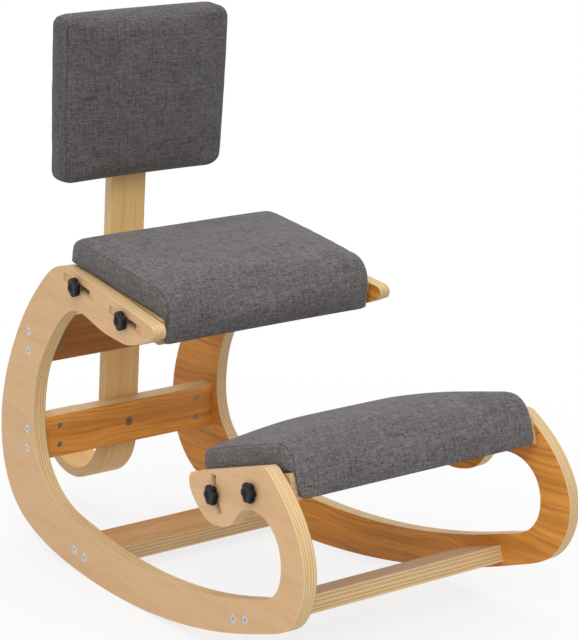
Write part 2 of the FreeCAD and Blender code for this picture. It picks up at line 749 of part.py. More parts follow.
class Pad:
    def __init__(self, word, slope, point):
        self.word = word
        self.slope = slope
        self.point = point
        self.lead = size(word + "_front")
        self.depth = size(word + "_depth")
        self.home = square_place(size(word + "_along"), size(word + "_height"), slope)
        self.studs = (0, size(word + "_stud_spacing"))
        self.base_front = -self.lead + size("pad_skirt")
        self.base_rear = self.depth - self.lead - size("pad_skirt")

    def stud_place(self, side, stud, inward):
        return plate_place(side, *self.point(stud, 0), inward)

    def middle(self):
        return self.depth / 2 - self.lead

    def slab(self, body, outline, top, formula):
        """A flat piece of the base. Its outline's corners are a side, a place along and one inward."""
        corners = [(self.stud_place(side, along, inward).x, along) for side, along, inward in outline]
        pad(body, sketch(body, "XY_Plane", loop(corners), "outline", offset=top), formula, reverse=True)
        body.Placement = self.home
        return body

    def across(self, front, rear, inward):
        return [(RIGHT, front, inward), (LEFT, front, inward), (LEFT, rear, inward), (RIGHT, rear, inward)]


def pad_cleat(kind, side, word):
    """The cleat under the board's side, with holes for the inserts."""
    front, rear, inner = kind.base_front + 1, kind.base_rear - 1, BASE_SIDE + size("cleat_width")
    outline = [(side, front, BASE_SIDE), (side, rear, BASE_SIDE), (side, rear, inner), (side, front, inner)]
    body = doc.addObject("PartDesign::Body", "cleat_blank")
    blank = kind.slab(body, outline, UNDER_BOARD, "sizes.cleat_tall")
    holes = [rod("insert_hole", kind.stud_place(side, stud, BASE_SIDE - 1), inward_axis(side),
                 "sizes.insert_diameter / 2 + 0.02", "sizes.insert_length + 1.5") for stud in kind.studs]
    keep(minus("cleat", blank, joined("cleat_holes", holes)), "%s_%s_cleat" % (kind.word, word))


def pad_insert(kind, side, stud):
    sleeve = rod("insert_sleeve", kind.stud_place(side, stud, BASE_SIDE), inward_axis(side),
                 "sizes.insert_diameter / 2", "sizes.insert_length")
    bore = rod("insert_bore", kind.stud_place(side, stud, BASE_SIDE - 1), inward_axis(side),
               "sizes.stud_diameter / 2 + sizes.running_clearance", "sizes.insert_length + 2")
    return minus("insert", sleeve, bore)


def pad_base(kind):
    kind.slab(new_body(kind.word + "_board"), kind.across(kind.base_front, kind.base_rear, BASE_SIDE),
              size("base_rise"), "sizes.base_ply")
    inserts, rails = [], []
    for side, word in SIDES:
        pad_cleat(kind, side, word)
        inserts += [pad_insert(kind, side, stud) for stud in kind.studs]
    between_cleats = BASE_SIDE + size("cleat_width") + size("base_play")
    for first in (kind.base_front + 1, kind.base_rear - 1 - size("rail_width")):
        outline = kind.across(first, first + size("rail_width"), between_cleats)
        body = doc.addObject("PartDesign::Body", "rail")
        rails.append(kind.slab(body, outline, UNDER_BOARD, "sizes.cleat_tall"))
    for label, pieces in ((kind.word + "_inserts", inserts), (kind.word + "_rails", rails)):
        group = doc.addObject("Part::Compound", label)
        group.Links = pieces
        keep(group, label)


CUT_BLOCK = 100


def pad_cushion(kind, above_plates):
    """The cushion, hollow below for its base and cut back where it stands between the side frames."""
    cushion = Cushion(kind.lead, kind.depth, size("pad_foot"), size(kind.word + "_top"),
                      size(kind.word + "_wide_front") / 2, size(kind.word + "_wide_rear") / 2)
    form = cushion.form(kind.word + "_form", size(kind.word + "_crown"), size(kind.word + "_end_round"),
                        size("front_soft"), size("rear_soft"))
    form.Placement = kind.home
    hollow = box(kind.word + "_hollow", kind.home.multVec(Vector(0, kind.middle(), -size("pad_foot"))),
                 Rotation(Vector(1, 0, 0), kind.slope), Length="3 * sizes.half_width",
                 Width="sizes.%s_depth - 2 * sizes.pad_skirt + 2 * sizes.base_play" % kind.word,
                 Height="2 * (sizes.base_rise + sizes.base_play + sizes.pad_foot)")
    tools = [hollow]
    if above_plates:
        rise = size("seat_plate_rise") + size("over_plate") - CUT_BLOCK / 2
        for side, word in SIDES:
            centre = plate_place(side, *kind.point(kind.middle(), rise), BASE_SIDE - CUT_BLOCK / 2)
            tools.append(box("side_cut", centre, pad_turn(side, kind.slope), Length="2 * sizes.seat_depth",
                             Width=str(CUT_BLOCK), Height=str(CUT_BLOCK)))
    keep(minus(kind.word + "_cushion", form, joined(kind.word + "_cuts", tools)), kind.word + "_cushion")


seat = Pad("seat", size("seat_slope"), seat_point)
knee = Pad("knee", -size("knee_slope"), knee_point)
for kind in (seat, knee):
    pad_base(kind)
pad_cushion(seat, above_plates=True)
pad_cushion(knee, above_plates=False)


# Backrest: a cushion round a board that the post's screws hold

def backrest():
    leaning = Rotation(Vector(1, 0, 0), size("post_lean"))
    inset = size("back_board_inset")
    foot, top = size("back_foot") + inset, size("back_foot") + size("back_tall") - inset
    low, high = size("back_wide_foot") / 2 - inset, size("back_wide_top") / 2 - inset
    body = new_body("backrest_board")
    board = sketch(body, "XZ_Plane", loop([(-low, foot), (low, foot), (high, top), (-high, top)]), "board")
    pad(body, board, "sizes.back_board_ply", reverse=False)
    hole = size("bolt_diameter") + 2 * size("fit_clearance")
    holes = sketch(body, "XZ_Plane", [circle(site, hole) for site in BACK_SCREWS], "holes")
    pocket(body, holes, "sizes.back_board_ply", reverse=True)
    body.Placement = Placement(post_place(0, 0), leaning)
    cushion = Cushion(0, size("back_tall"), 0, size("back_thick"), size("back_wide_foot") / 2,
                      size("back_wide_top") / 2)
    form = cushion.form("backrest_form", size("back_crown"), size("back_end_round"), size("back_soft"),
                        size("back_soft"))
    # The cushion's own along and rise become up the post and forward of it.
    form.Placement = Placement(post_place(size("back_foot"), 0),
                               Rotation(Vector(1, 0, 0), 90 + size("post_lean")))
    hollow = box("backrest_hollow", post_place((foot + top) / 2, 0), leaning,
                 Length="sizes.back_wide_top - 2 * sizes.back_board_inset + 2 * sizes.base_play",
                 Width="2 * (sizes.back_board_ply + sizes.base_play)",
                 Height="sizes.back_tall - 2 * sizes.back_board_inset + 2 * sizes.base_play")
    keep(minus("backrest_cushion", form, hollow), "backrest_cushion")
    screws = []
    for across, rise in BACK_SCREWS:
        base = post_place(rise, size("post_ply") + size("head_height"), across)
        screws.append(bolt("back_screw", base, BACK_WAY * -1, "sizes.post_ply + sizes.back_board_ply - 2"))
    group = doc.addObject("Part::Compound", "backrest_screws")
    group.Links = screws
    keep(group, "backrest_screws")


backrest()


# Star knobs, each moulded on a threaded stud that reaches into its insert

def star_knob(label, base, way, neck_height):
    """A fluted head on a short neck, which starts at the base."""
    body = new_body(label)
    neck = sketch(body, "XY_Plane", [circle((0, 0), size("knob_neck"))], "neck")
    pad(body, neck, neck_height)
    doc.recompute()
    neck_top = body.Tip.Length.Value
    head = sketch(body, "XY_Plane", [circle((0, 0), size("knob_diameter"))], "head", neck_top)
    pad(body, head, "sizes.knob_head")
    outline = circle((size("knob_diameter") / 2 + 1, 0), size("flute_diameter"))
    flute = sketch(body, "XY_Plane", [outline], "flute", neck_top)
    cut = pocket(body, flute, "sizes.knob_head", reverse=True)
    doc.recompute()
    flutes = body.newObject("PartDesign::PolarPattern", "flutes")
    flutes.Originals = [cut]
    flutes.Axis = (next(axis for axis in body.Origin.OriginFeatures if axis.Role == "Z_Axis"), [""])
    flutes.Angle = 360
    bind(flutes, Occurrences="sizes.knob_flutes")
    body.Tip = flutes
    bore = sketch(body, "XY_Plane", [circle((0, 0), size("stud_diameter") + 0.04)], "bore")
    pocket(body, bore, neck_height + " + sizes.knob_head * 0.5", reverse=True)
    body.Placement = Placement(base, Rotation(UP, way))
    return body


def knob_with_stud(kind, side, word, place, stud):
    name = "%s_%s_%s_knob" % (kind.word, place, word)
    out = inward_axis(side) * -1
    neck_height = "(sizes.{0}_knob_gap - sizes.{0}_neck_gap)".format(kind.word)
    star_knob(name, kind.stud_place(side, stud, -size(kind.word + "_neck_gap")), out, neck_height)
    reach = BASE_SIDE + size("insert_length") - 2
    stem = rod(name + "_stud", kind.stud_place(side, stud, reach), out, "sizes.stud_diameter / 2",
               "sizes.frame_ply + sizes.side_gap + sizes.insert_length - 2.1 + sizes.%s_knob_gap"
               " + sizes.knob_head * 0.5" % kind.word)
    keep(stem, name + "_stud")


for side, word in SIDES:
    for kind, places in ((seat, ("front", "rear")), (knee, ("pivot", "clamp"))):
        for place, stud in zip(places, kind.studs):
            knob_with_stud(kind, side, word, place, stud)

doc.recompute()


# The origin goes to the middle of the footprint

def outer_box(pieces):
    whole = FreeCAD.BoundBox()
    for piece in pieces:
        whole.add(piece.Shape.optimalBoundingBox(False, False))
    return whole


extent = outer_box(kept.values())
shift = Vector(0, -(extent.YMin + extent.YMax) / 2, -extent.ZMin)
for piece in kept.values():
    placement = piece.Placement
    piece.Placement = Placement(placement.Base + shift, placement.Rotation)
doc.recompute()


# Checks, files

for thing in doc.Objects:
    if "Invalid" in thing.State or "Error" in thing.State:
        raise RuntimeError("%s could not be built: %s" % (thing.Label, thing.State))
os.makedirs("parts", exist_ok=True)
for label, piece in sorted(kept.items()):
    shape = piece.Shape
    if shape.isNull() or not shape.isValid() or not shape.Solids:
        raise RuntimeError(label + " is not a valid solid")
    shape.exportStep("parts/%s.step" % label)
whole = outer_box(kept.values())
print("nodes", len(kept))
print("size", round(whole.XLength, 1), round(whole.YLength, 1), round(whole.ZLength, 1))
print("moved along Y by", round(shift.y, 3), "and up by", round(shift.z, 3))
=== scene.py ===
"""Looks of the rocking kneeling chair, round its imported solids. Metres, +Z up, the sitter faces -Y."""
import json
import math

import bmesh
import bpy
import numpy as np
from mathutils import Matrix, Vector


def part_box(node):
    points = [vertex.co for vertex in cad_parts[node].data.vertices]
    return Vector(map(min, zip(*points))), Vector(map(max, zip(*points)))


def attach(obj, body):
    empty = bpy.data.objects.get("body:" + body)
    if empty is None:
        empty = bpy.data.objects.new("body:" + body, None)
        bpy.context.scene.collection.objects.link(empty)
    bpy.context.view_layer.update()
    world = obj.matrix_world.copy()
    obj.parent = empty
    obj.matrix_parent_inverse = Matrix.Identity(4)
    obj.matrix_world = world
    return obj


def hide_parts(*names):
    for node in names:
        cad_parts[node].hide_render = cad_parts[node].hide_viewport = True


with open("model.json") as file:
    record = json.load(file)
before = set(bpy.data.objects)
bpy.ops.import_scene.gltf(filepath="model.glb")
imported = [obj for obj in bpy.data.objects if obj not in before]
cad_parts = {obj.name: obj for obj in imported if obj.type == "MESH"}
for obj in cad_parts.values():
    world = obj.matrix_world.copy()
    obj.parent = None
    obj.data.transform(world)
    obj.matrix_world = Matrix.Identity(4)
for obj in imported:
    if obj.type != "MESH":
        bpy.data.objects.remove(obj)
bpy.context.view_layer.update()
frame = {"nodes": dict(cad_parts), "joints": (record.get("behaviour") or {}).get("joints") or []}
NODES = frame["nodes"]

ALONG = -0.054559  # the model's shift along Y, from the rocker's own origin to the footprint's middle
TOE = math.radians(4.9)  # each side frame's turn: the chair is wider at the knees
LEAN = math.radians(4.8)  # the post's lean to the rear
POST_FOOT = Vector((0, 0.360 + ALONG, 0.178))  # on the post's front face


# Shader building blocks

class Shader:
    """A node material with short helpers for its sums."""

    def __init__(self, name):
        self.material = bpy.data.materials.new(name)
        self.material.use_nodes = True
        self.tree = self.material.node_tree
        self.surface = self.tree.nodes["Principled BSDF"]

    def node(self, kind, **settings):
        made = self.tree.nodes.new(kind)
        for key, value in settings.items():
            setattr(made, key, value)
        return made

    def put(self, socket, value):
        if isinstance(value, bpy.types.NodeSocket):
            self.tree.links.new(value, socket)
        else:
            socket.default_value = value

    def place(self):
        """The point on the surface, in metres."""
        return self.node("ShaderNodeTexCoord").outputs["Object"]

    def facing(self, direction):
        """How far the surface faces a direction, -1 to 1."""
        return self.dot(self.node("ShaderNodeTexCoord").outputs["Normal"], direction)

    def attribute(self, name, output):
        return self.node("ShaderNodeAttribute", attribute_name=name).outputs[output]

    def parts(self, vector):
        made = self.node("ShaderNodeSeparateXYZ")
        self.put(made.inputs[0], vector)
        return made.outputs[0], made.outputs[1], made.outputs[2]

    def math(self, operation, first, second=0.0):
        made = self.node("ShaderNodeMath", operation=operation)
        self.put(made.inputs[0], first)
        self.put(made.inputs[1], second)
        return made.outputs[0]

    def times(self, first, second):
        return self.math("MULTIPLY", first, second)

    def plus(self, first, second):
        return self.math("ADD", first, second)

    def minus(self, first, second):
        return self.math("SUBTRACT", first, second)

    def size(self, value):
        return self.math("ABSOLUTE", value)

    def dot(self, vector, direction):
        made = self.node("ShaderNodeVectorMath", operation="DOT_PRODUCT")
        self.put(made.inputs[0], vector)
        self.put(made.inputs[1], tuple(direction))
        return made.outputs["Value"]

    def vector(self, x, y, z):
        made = self.node("ShaderNodeCombineXYZ")
        for socket, value in zip(made.inputs, (x, y, z)):
            self.put(socket, value)
        return made.outputs[0]

    def noise(self, vector, scale, detail=2.0, rough=0.5):
        made = self.node("ShaderNodeTexNoise")
        self.put(made.inputs["Vector"], vector)
        self.put(made.inputs["Scale"], scale)
        self.put(made.inputs["Detail"], detail)
        self.put(made.inputs["Roughness"], rough)
        return made.outputs["Fac"]

    def drawn_out(self, run, run_scale, rise, rise_scale, depth, detail=2.0, rough=0.5):
        """Noise with a scale of its own each way."""
        return self.noise(self.vector(self.times(run, run_scale), self.times(rise, rise_scale), depth),
                          1.0, detail, rough)

    def band(self, value, low, high, to_low=0.0, to_high=1.0):
        """Maps low..high to to_low..to_high, smoothly and held at both ends."""
        made = self.node("ShaderNodeMapRange", interpolation_type="SMOOTHSTEP")
        for name, number in (("Value", value), ("From Min", low), ("From Max", high),
                             ("To Min", to_low), ("To Max", to_high)):
            self.put(made.inputs[name], number)
        return made.outputs["Result"]

    def mix(self, share, first, second):
        made = self.node("ShaderNodeMix", data_type="RGBA")
        self.put(made.inputs["Factor"], share)
        for socket, value in ((made.inputs[6], first), (made.inputs[7], second)):
            self.put(socket, value if isinstance(value, bpy.types.NodeSocket) else (*value, 1.0))
        return made.outputs[2]

    def bump(self, height, strength, distance):
        made = self.node("ShaderNodeBump")
        self.put(made.inputs["Height"], height)
        self.put(made.inputs["Strength"], strength)
        self.put(made.inputs["Distance"], distance)
        self.put(self.surface.inputs["Normal"], made.outputs[0])

    def finish(self, colour, roughness, specular=0.5):
        self.put(self.surface.inputs["Base Color"], colour)
        self.put(self.surface.inputs["Roughness"], roughness)
        self.put(self.surface.inputs["Specular IOR Level"], specular)
        return self.material


def grain(shader, along, across, depth, stretch=22.0, fine=620.0, swirl=3.0, wide=34.0):
    """Wood grain from lengths in metres, 0 to 1: short fibres, growth bands and rare streaks.

    stretch and fine are the fibres' scales along and across, wide is the bands' scale across, and swirl is how
    often the grain drifts sideways.
    """
    drift = shader.drawn_out(along, swirl, across, 5.0, depth)
    bent = shader.plus(across, shader.times(drift, 0.07))
    fibres = shader.drawn_out(along, stretch, bent, fine, depth, rough=0.55)
    rings = shader.drawn_out(along, 1.8, bent, wide, depth, 3.0, 0.6)
    streaks = shader.drawn_out(along, 3.4, bent, 150.0, shader.plus(depth, 5.0))
    return fibres, rings, streaks


# Wood tones: a light and a dark one for each kind of face. The side frames are pale outside and amber inside.
PALE = (0.66, 0.415, 0.215)
PALE_DARK = (0.50, 0.275, 0.115)
AMBER = (0.77, 0.335, 0.056)
AMBER_DARK = (0.46, 0.165, 0.020)
# The upper crossbar's tones: the amber darkened as painted shade, for the shadow under the seat.
PAINTED_SHADE_AMBER = (0.42, 0.155, 0.028)
PAINTED_SHADE_AMBER_DARK = (0.26, 0.08, 0.010)
FLOOR_BAR = (0.62, 0.37, 0.165)
FLOOR_BAR_DARK = (0.50, 0.27, 0.10)
POST = (0.80, 0.53, 0.23)
POST_DARK = (0.64, 0.38, 0.135)
POST_STREAK = (0.42, 0.24, 0.09)
BASE = (0.60, 0.42, 0.22)
BASE_DARK = (0.47, 0.29, 0.13)
FIBRE = (0.23, 0.10, 0.03)
POST_FIBRE = (0.27, 0.14, 0.05)
BASE_FIBRE = (0.25, 0.13, 0.05)

# Plywood edges: cream and straw veneers with the grain along the edge, tan end grain and glue
CREAM = (0.74, 0.56, 0.31)
STRAW = (0.64, 0.45, 0.215)
END_GRAIN = (0.60, 0.40, 0.19)
END_GRAIN_DARK = (0.40, 0.235, 0.095)
GLUE = (0.30, 0.17, 0.07)

WOOD_BUMP = 0.0004


def ply_edge(shader, layer, run, rise):
    """Colour of a plywood edge: pale veneers, every other one end grain, between thin dark glue lines.

    layer counts the veneers into the board, with the glue where it is a whole number. run and rise give the
    place along the board.
    """
    every_other = shader.math("FRACT", shader.times(layer, 0.5))
    end_grain = shader.band(every_other, 0.49, 0.51)
    specks = shader.drawn_out(run, 420.0, rise, 420.0, layer)
    tone = shader.drawn_out(run, 25.0, rise, 25.0, layer)
    veneer = shader.mix(shader.times(end_grain, 0.75), shader.mix(tone, STRAW, CREAM),
                        shader.mix(specks, END_GRAIN_DARK, END_GRAIN))
    from_middle = shader.size(shader.minus(shader.math("FRACT", layer), 0.5))
    glue = shader.band(from_middle, 0.30, 0.46)
    worn = shader.drawn_out(run, 16.0, rise, 16.0, layer, 1.0)
    glue = shader.times(glue, shader.band(worn, 0.35, 0.6, 0.3, 0.9))
    chance = shader.node("ShaderNodeTexWhiteNoise", noise_dimensions="1D")
    shader.put(chance.inputs["W"], shader.math("FLOOR", shader.plus(layer, 0.5)))
    glue = shader.times(glue, shader.band(chance.outputs["Value"], 0.35, 0.85, 0.15, 1.0))
    return shader.mix(glue, veneer, GLUE)


def plywood(name, start, thickness, along, across, veneer, outer, inner):
    """Board material. start is a point on its first face, thickness the direction into the board from there.

    along and across span the face, veneer is the thickness of a layer, and outer and inner are the light and
    dark tones of the first face and of the one behind it.
    """
    shader = Shader(name)
    place = shader.place()
    into = Vector(thickness)
    depth = shader.minus(shader.dot(place, into), Vector(start).dot(into))
    run, rise = shader.dot(place, along), shader.dot(place, across)
    facing = shader.facing(into)
    on_face = shader.band(shader.size(facing), 0.72, 0.8)
    behind = shader.band(facing, -0.1, 0.1)
    fibres, rings, streaks = grain(shader, run, rise, behind)
    pale = shader.mix(shader.band(rings, 0.36, 0.72, 0.0, 0.32), outer[0], outer[1])
    pale = shader.mix(shader.band(streaks, 0.62, 0.78, 0.0, 0.22), pale, outer[1])
    warm = shader.mix(shader.band(rings, 0.30, 0.72, 0.0, 0.75), inner[0], inner[1])
    warm = shader.mix(shader.band(streaks, 0.46, 0.66, 0.0, 0.8), warm, inner[1])
    strength = shader.plus(0.14, shader.times(behind, 0.22))
    face = shader.mix(shader.times(shader.band(fibres, 0.42, 0.75), strength),
                      shader.mix(behind, pale, warm), FIBRE)
    edge = ply_edge(shader, shader.times(depth, 1 / veneer), run, rise)
    shader.bump(shader.plus(fibres, shader.times(rings, 0.4)), 0.18, WOOD_BUMP)
    return shader.finish(shader.mix(on_face, edge, face), shader.band(fibres, 0.3, 0.7, 0.42, 0.56), 0.4)


def unit_turn(angle):
    """The direction in the side view that is turned by this angle from +Y up towards +Z."""
    return Vector((0, math.cos(angle), math.sin(angle)))


SOFT_EDGE = 0.0011
SAWN_EDGE = 0.0008


def dress(node, material, edge=SOFT_EDGE):
    """Gives a CAD node its finish and takes the sharpness off its edges, unless edge is 0."""
    piece = NODES[node]
    piece.data.materials.clear()
    piece.data.materials.append(material)
    if edge:
        bevel = piece.modifiers.new("soft_edges", "BEVEL")
        bevel.width = edge
        bevel.segments = 2
        bevel.limit_method = "ANGLE"
        bevel.angle_limit = math.radians(38)


# Side frames and crossbars

OUTER_HALF = 0.215  # from the middle to a side frame's outer face, level with the rocker's origin
SIDE_VENEER = 0.0021
BAR_VENEER = 0.0028
BAR_THICK = 0.025

for side, word in ((-1, "right"), (1, "left")):
    along = Vector((-side * math.sin(TOE), math.cos(TOE), 0))
    inward = Vector((-side * math.cos(TOE), -math.sin(TOE), 0))
    outer_face = Vector((side * OUTER_HALF, ALONG, 0))
    material = plywood(word + "_side_ply", outer_face, inward, along, (0, 0, 1), SIDE_VENEER,
                       (PALE, PALE_DARK), (AMBER, AMBER_DARK))
    dress(word + "_side_frame", material)

BARS = {  # slope in degrees, centre in the side view, tones
    # The upper crossbar's tones are painted shade: amber darkened for the shadow that the seat casts on it.
    "upper_crossbar": (94.8, 0.3345, 0.3375, (PAINTED_SHADE_AMBER, PAINTED_SHADE_AMBER_DARK)),
    "middle_crossbar": (94.8, 0.3475, 0.177, (AMBER, AMBER_DARK)),
    "rear_floor_bar": (5.9, 0.183, 0.034, (FLOOR_BAR, FLOOR_BAR_DARK)),
    "front_floor_bar": (-14.7, -0.275, 0.070, (FLOOR_BAR, FLOOR_BAR_DARK)),
}
for bar, (slope, centre_along, centre_high, tones) in BARS.items():
    wide = unit_turn(math.radians(slope))
    thick = Vector((1, 0, 0)).cross(wide)
    first_face = Vector((0, centre_along + ALONG, centre_high)) - thick * (BAR_THICK / 2)
    dress(bar, plywood(bar + "_ply", first_face, thick, (1, 0, 0), wide, BAR_VENEER, tones, tones))


# Bentwood post

CURL_RADIUS = 0.092
CURL_START = -0.032  # the height of the curl's centre above the post's foot point
POST_VENEER = 0.0020


def bentwood():
    """Grain along the post and round its curl, and laminations on its narrow edges."""
    shader = Shader("bentwood")
    place = shader.place()
    up = Vector((0, -math.sin(LEAN), math.cos(LEAN)))
    back = Vector((0, math.cos(LEAN), math.sin(LEAN)))
    rise = shader.minus(shader.dot(place, up), POST_FOOT.dot(up))
    rear = shader.minus(shader.dot(place, back), POST_FOOT.dot(back))
    across = shader.dot(place, (1, 0, 0))
    from_centre = shader.minus(rear, CURL_RADIUS)
    below = shader.minus(rise, CURL_START)
    squares = shader.plus(shader.times(from_centre, from_centre), shader.times(below, below))
    reach = shader.math("SQRT", squares)
    in_curl = shader.math("LESS_THAN", below, 0.0)
    straight = shader.minus(1.0, in_curl)
    depth = shader.plus(shader.times(straight, rear), shader.times(in_curl, shader.minus(CURL_RADIUS, reach)))
    turn = shader.math("ARCTAN2", below, from_centre)
    length = shader.plus(shader.times(straight, rise), shader.times(in_curl, shader.times(turn, CURL_RADIUS)))
    fibres, rings, streaks = grain(shader, length, across, 0.0, stretch=12.0, swirl=1.4, wide=46.0)
    face = shader.mix(shader.band(rings, 0.35, 0.7, 0.0, 0.7), POST, POST_DARK)
    face = shader.mix(shader.band(streaks, 0.55, 0.75, 0.0, 0.3), face, POST_STREAK)
    face = shader.mix(shader.band(fibres, 0.45, 0.8, 0.0, 0.16), face, POST_FIBRE)
    edge = ply_edge(shader, shader.times(depth, 1 / POST_VENEER), length, across)
    on_edge = shader.band(shader.size(shader.facing((1, 0, 0))), 0.7, 0.8)
    shader.bump(fibres, 0.15, WOOD_BUMP)
    return shader.finish(shader.mix(shader.times(on_edge, 0.8), face, edge), 0.5, 0.4)


dress("back_post", bentwood())


# Boards, cleats and rails under the cushions

def plain_wood():
    shader = Shader("base_wood")
    fibres, rings = grain(shader, *shader.parts(shader.place()))[:2]
    colour = shader.mix(rings, BASE, BASE_DARK)
    colour = shader.mix(shader.band(fibres, 0.45, 0.75, 0.0, 0.3), colour, BASE_FIBRE)
    shader.bump(fibres, 0.15, WOOD_BUMP)
    return shader.finish(colour, 0.62, 0.3)


BASE_WOOD = plain_wood()
for pad in ("seat", "knee"):
    for part in ("_board", "_left_cleat", "_right_cleat", "_rails"):
        dress(pad + part, BASE_WOOD, SAWN_EDGE)


def lining():
    """Dark cloth drawn over the backrest's board."""
    shader = Shader("dark_lining")
    place = shader.place()
    fuzz = shader.noise(place, 900.0, 3.0)
    patches = shader.noise(place, 60.0)
    colour = shader.mix(shader.band(fuzz, 0.35, 0.65), (0.020, 0.020, 0.021), (0.058, 0.056, 0.056))
    shader.bump(fuzz, 0.3, 0.0004)
    return shader.finish(colour, shader.band(patches, 0.3, 0.7, 0.84, 0.94), 0.2)


dress("backrest_board", lining(), SAWN_EDGE)


# Metal hardware

def metal(name, dull, bright, metallic):
    shader = Shader(name)
    place = shader.place()
    patches = shader.noise(place, 340.0, 3.0)
    scratches = shader.noise(place, 2200.0)
    shader.put(shader.surface.inputs["Metallic"], metallic)
    shader.bump(scratches, 0.12, 0.0002)
    return shader.finish(shader.mix(patches, dull, bright), shader.band(patches, 0.3, 0.7, 0.28, 0.42))


ZINC = metal("zinc", (0.46, 0.47, 0.49), (0.66, 0.67, 0.69), 0.9)
BRONZED = metal("bronzed", (0.16, 0.10, 0.06), (0.30, 0.21, 0.13), 0.85)
for name in NODES:
    if name.endswith(("_barrel_nuts", "post_bolts")):
        dress(name, BRONZED, 0)
    elif name.endswith(("_bolts", "_nuts", "_screws", "_inserts", "_stud")):
        dress(name, ZINC, 0)


# Star knobs: six soft lobes with a dished cap, on a short neck

def black_plastic():
    shader = Shader("black_plastic")
    place = shader.place()
    mould = shader.noise(place, 1500.0)
    haze = shader.noise(place, 90.0)
    colour = shader.mix(haze, (0.003, 0.003, 0.004), (0.007, 0.007, 0.009))
    shader.bump(mould, 0.12, 0.0003)
    return shader.finish(colour, shader.band(haze, 0.3, 0.7, 0.36, 0.48), 0.2)


BLACK = black_plastic()
KNOB_RADIUS = 0.015
KNOB_HEAD = 0.0085  # the lobed head's height
KNOB_NECK = 0.0055  # the neck's radius
LOBES = 6
LOBE_CUT = 0.2  # the share of the radius that is cut away between two lobes
RIM_POINTS = 96
SEAT_NECK, KNEE_NECK = 0.0030, 0.0011  # the neck's height
SEAT_SPIN, KNEE_SPIN = 0.35, 0.1  # how far the lobes are turned at rest


def knob_mesh(neck_height):
    """Rings from the neck's foot over the lobed rim to the cap's dished middle. +Z points off the frame."""
    top = neck_height + KNOB_HEAD
    rings = (  # share of the lobed radius, share of the neck's radius, height, lobe depth
        (0, 1, 0, 0), (0, 1, neck_height * 0.9, 0), (0.55, 0, neck_height + 0.0003, 0.3),
        (0.93, 0, neck_height + 0.0006, 0.9), (1, 0, neck_height + 0.0022, 1), (1, 0, top - 0.0026, 1),
        (0.95, 0, top - 0.0007, 0.9), (0.86, 0, top - 0.0001, 0.7), (0.60, 0, top, 0.3),
        (0.44, 0, top - 0.0001, 0), (0.36, 0, top - 0.0012, 0), (0.15, 0, top - 0.0015, 0))
    work = bmesh.new()
    loops = []
    for lobed, plain, height, depth in rings:
        loop = []
        for step in range(RIM_POINTS):
            angle = 2 * math.pi * step / RIM_POINTS
            flute = (0.5 - 0.5 * math.cos(LOBES * angle)) ** 2.2
            radius = lobed * KNOB_RADIUS * (1 - LOBE_CUT * depth * flute) + plain * KNOB_NECK
            loop.append(work.verts.new((radius * math.cos(angle), radius * math.sin(angle), height)))
        loops.append(loop)
    for low, high in zip(loops, loops[1:]):
        for step in range(RIM_POINTS):
            after = (step + 1) % RIM_POINTS
            work.faces.new((low[step], low[after], high[after], high[step]))
    work.faces.new(list(reversed(loops[0])))
    work.faces.new(loops[-1])
    mesh = bpy.data.meshes.new("star_knob")
    work.to_mesh(mesh)
    work.free()
    for polygon in mesh.polygons:
        polygon.use_smooth = True
    mesh.materials.append(BLACK)
    return mesh


def place_knob(joint):
    """Puts a star knob over the CAD knob that this joint turns."""
    node = joint["name"].replace("_turn", "")
    side = -1 if "_right_" in node else 1
    neck, angle = (SEAT_NECK, SEAT_SPIN) if node.startswith("seat") else (KNEE_NECK, KNEE_SPIN)
    out = Vector((side * math.cos(TOE), math.sin(TOE), 0))
    low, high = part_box(node)
    centre = (Vector(low) + Vector(high)) / 2
    height = (neck + KNOB_HEAD) / 2
    piece = bpy.data.objects.new(node + "_star", knob_mesh(neck))
    bpy.context.collection.objects.link(piece)
    turn = out.to_track_quat("Z", "Y").to_matrix().to_4x4()
    spin = Matrix.Rotation(angle, 4, "Z")
    piece.matrix_world = Matrix.Translation(centre - out * height) @ turn @ spin
    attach(piece, node + "_body")
    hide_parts(node)


for joint in frame["joints"]:
    if joint["name"].endswith("_knob_turn"):
        place_knob(joint)


# Upholstery: grey melange weave

THREAD = 0.0010  # from one thread to the next
SEAM_TONE = (0.015, 0.015, 0.016)
FABRIC_DARK = (0.038, 0.036, 0.036)
FABRIC_LIGHT = (0.186, 0.173, 0.170)


